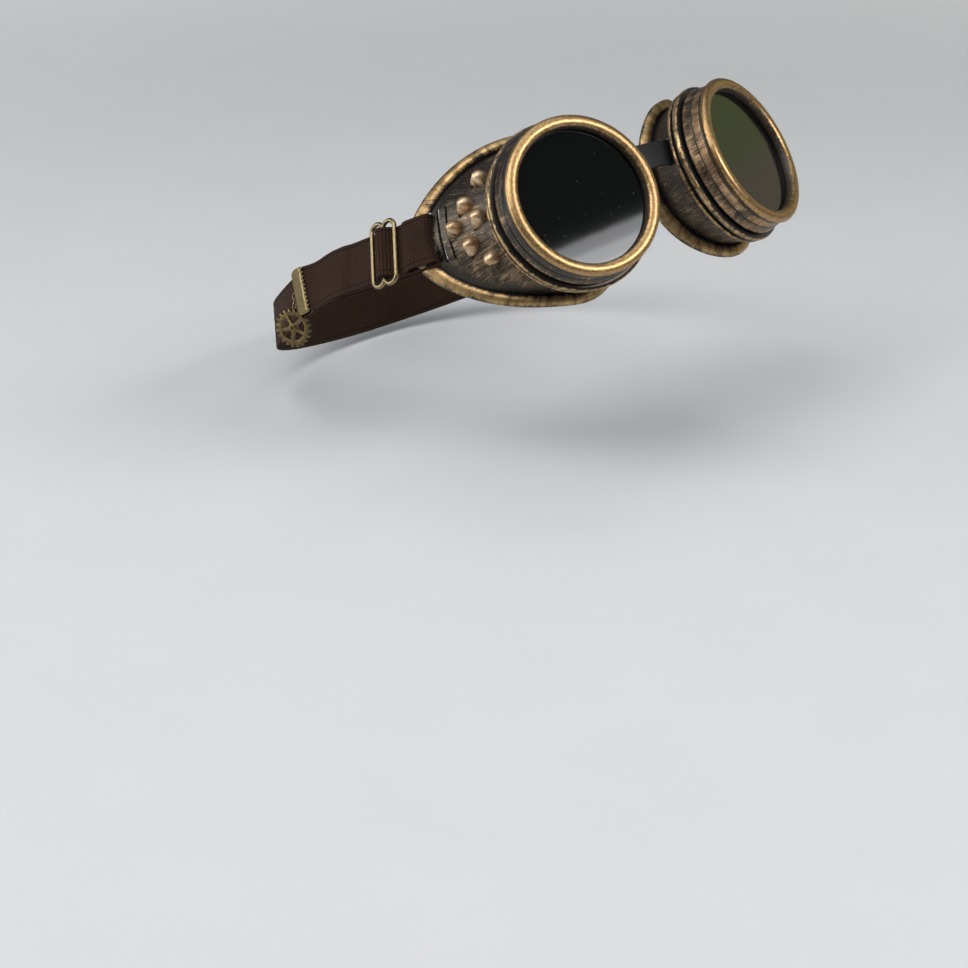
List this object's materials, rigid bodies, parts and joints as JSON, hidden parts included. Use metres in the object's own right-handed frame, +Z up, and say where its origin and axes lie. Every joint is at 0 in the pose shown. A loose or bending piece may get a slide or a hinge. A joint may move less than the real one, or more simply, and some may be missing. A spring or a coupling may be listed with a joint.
{
  "type": "welding goggles",
  "caption": "Round-lens goggles: two flared cups on a rubber nose bridge, screw-on lens rings with dark filters, and an elastic head strap with wire sliders and gear charms.",
  "frame": {"origin": "midway between the centres of the two lens rings, at the widest line of their beads", "axes": "+Z up, -Y the way the wearer looks, +X the wearer's left"},
  "size_m": [0.1848, 0.2071, 0.067],
  "materials": {
    "cup": "near-black bronze, dry-brushed copper",
    "ring": "antique gold bead, bronze skirt",
    "dark_lens": "glossy black welding filter",
    "clear_lens": "clear cover lens",
    "gasket": "matt black rubber",
    "bridge": "satin black rubber",
    "strap": "dark brown ribbed elastic",
    "hardware": "antique brass"
  },
  "bodies": {
    "right_frame": {"right_cup": "cup", "head_strap": "strap", "nose_bridge": "bridge", "right_crimp": "hardware"},
    "left_frame": {"left_cup": "cup", "left_crimp": "hardware"},
    "right_lens_pack": {"right_dark_lens": "dark_lens", "right_clear_lens": "clear_lens", "right_lens_gasket": "gasket"},
    "left_lens_pack": {"left_dark_lens": "dark_lens", "left_clear_lens": "clear_lens", "left_lens_gasket": "gasket"},
    "right_ring": {"right_lens_ring": "ring"},
    "left_ring": {"left_lens_ring": "ring"},
    "right_slide": {"right_slider": "hardware"},
    "left_slide": {"left_slider": "hardware"},
    "right_link": {"right_jump_ring": "hardware"},
    "left_link": {"left_jump_ring": "hardware"},
    "right_charm": {"right_gear_charm": "hardware"},
    "left_charm": {"left_gear_charm": "hardware"}
  },
  "joints": [
    {"name": "nose_bridge_flex", "type": "hinge", "parent": "right_frame", "child": "left_frame", "pos_m": [0, 0.00983, 0.0099], "axis": [0, 0, 1], "range_deg": [-8, 8], "stiffness_Nm_per_rad": 0.05, "deforming": ["nose_bridge", "head_strap"]},
    {"name": "right_ring_travel", "type": "slide", "parent": "right_frame", "child": "right_lens_pack", "axis": [-0.2538, -0.9673, 0], "range_m": [0, 0.00321]},
    {"name": "right_ring_screw", "type": "hinge", "parent": "right_lens_pack", "child": "right_ring", "pos_m": [-0.04635, 0, 0], "axis": [-0.2538, -0.9673, 0], "range_deg": [0, 720]},
    {"name": "right_slider_slide", "type": "slide", "parent": "right_frame", "child": "right_slide", "axis": [-0.1759, 0.9706, 0.1645], "range_m": [-0.002, 0.012]},
    {"name": "right_jump_ring_swing", "type": "hinge", "parent": "right_frame", "child": "right_link", "pos_m": [-0.08797, 0.1192, 0.01917], "axis": [-0.9789, -0.2034, -0.0215], "range_deg": [-20, 20]},
    {"name": "right_charm_swing", "type": "hinge", "parent": "right_link", "child": "right_charm", "pos_m": [-0.08858, 0.1227, 0.01408], "axis": [-0.3361, 0.7561, 0.5615], "range_deg": [0, 45]},
    {"name": "left_ring_travel", "type": "slide", "parent": "left_frame", "child": "left_lens_pack", "axis": [0.2538, -0.9673, 0], "range_m": [0, 0.00321]},
    {"name": "left_ring_screw", "type": "hinge", "parent": "left_lens_pack", "child": "left_ring", "pos_m": [0.04635, 0, 0], "axis": [0.2538, -0.9673, 0], "range_deg": [0, 720]},
    {"name": "left_slider_slide", "type": "slide", "parent": "left_frame", "child": "left_slide", "axis": [0.1759, 0.9706, 0.1645], "range_m": [-0.002, 0.012]},
    {"name": "left_jump_ring_swing", "type": "hinge", "parent": "left_frame", "child": "left_link", "pos_m": [0.08797, 0.1192, 0.01917], "axis": [0.9789, -0.2034, -0.0215], "range_deg": [-20, 20]},
    {"name": "left_charm_swing", "type": "hinge", "parent": "left_link", "child": "left_charm", "pos_m": [0.08858, 0.1227, 0.01408], "axis": [-0.3361, -0.7561, -0.5615], "range_deg": [0, 45]}
  ],
  "couplings": [
    {"joint": "right_ring_travel", "follows": "right_ring_screw", "m_per_rad": 0.00025465},
    {"joint": "left_ring_travel", "follows": "left_ring_screw", "m_per_rad": 0.00025465}
  ]
}
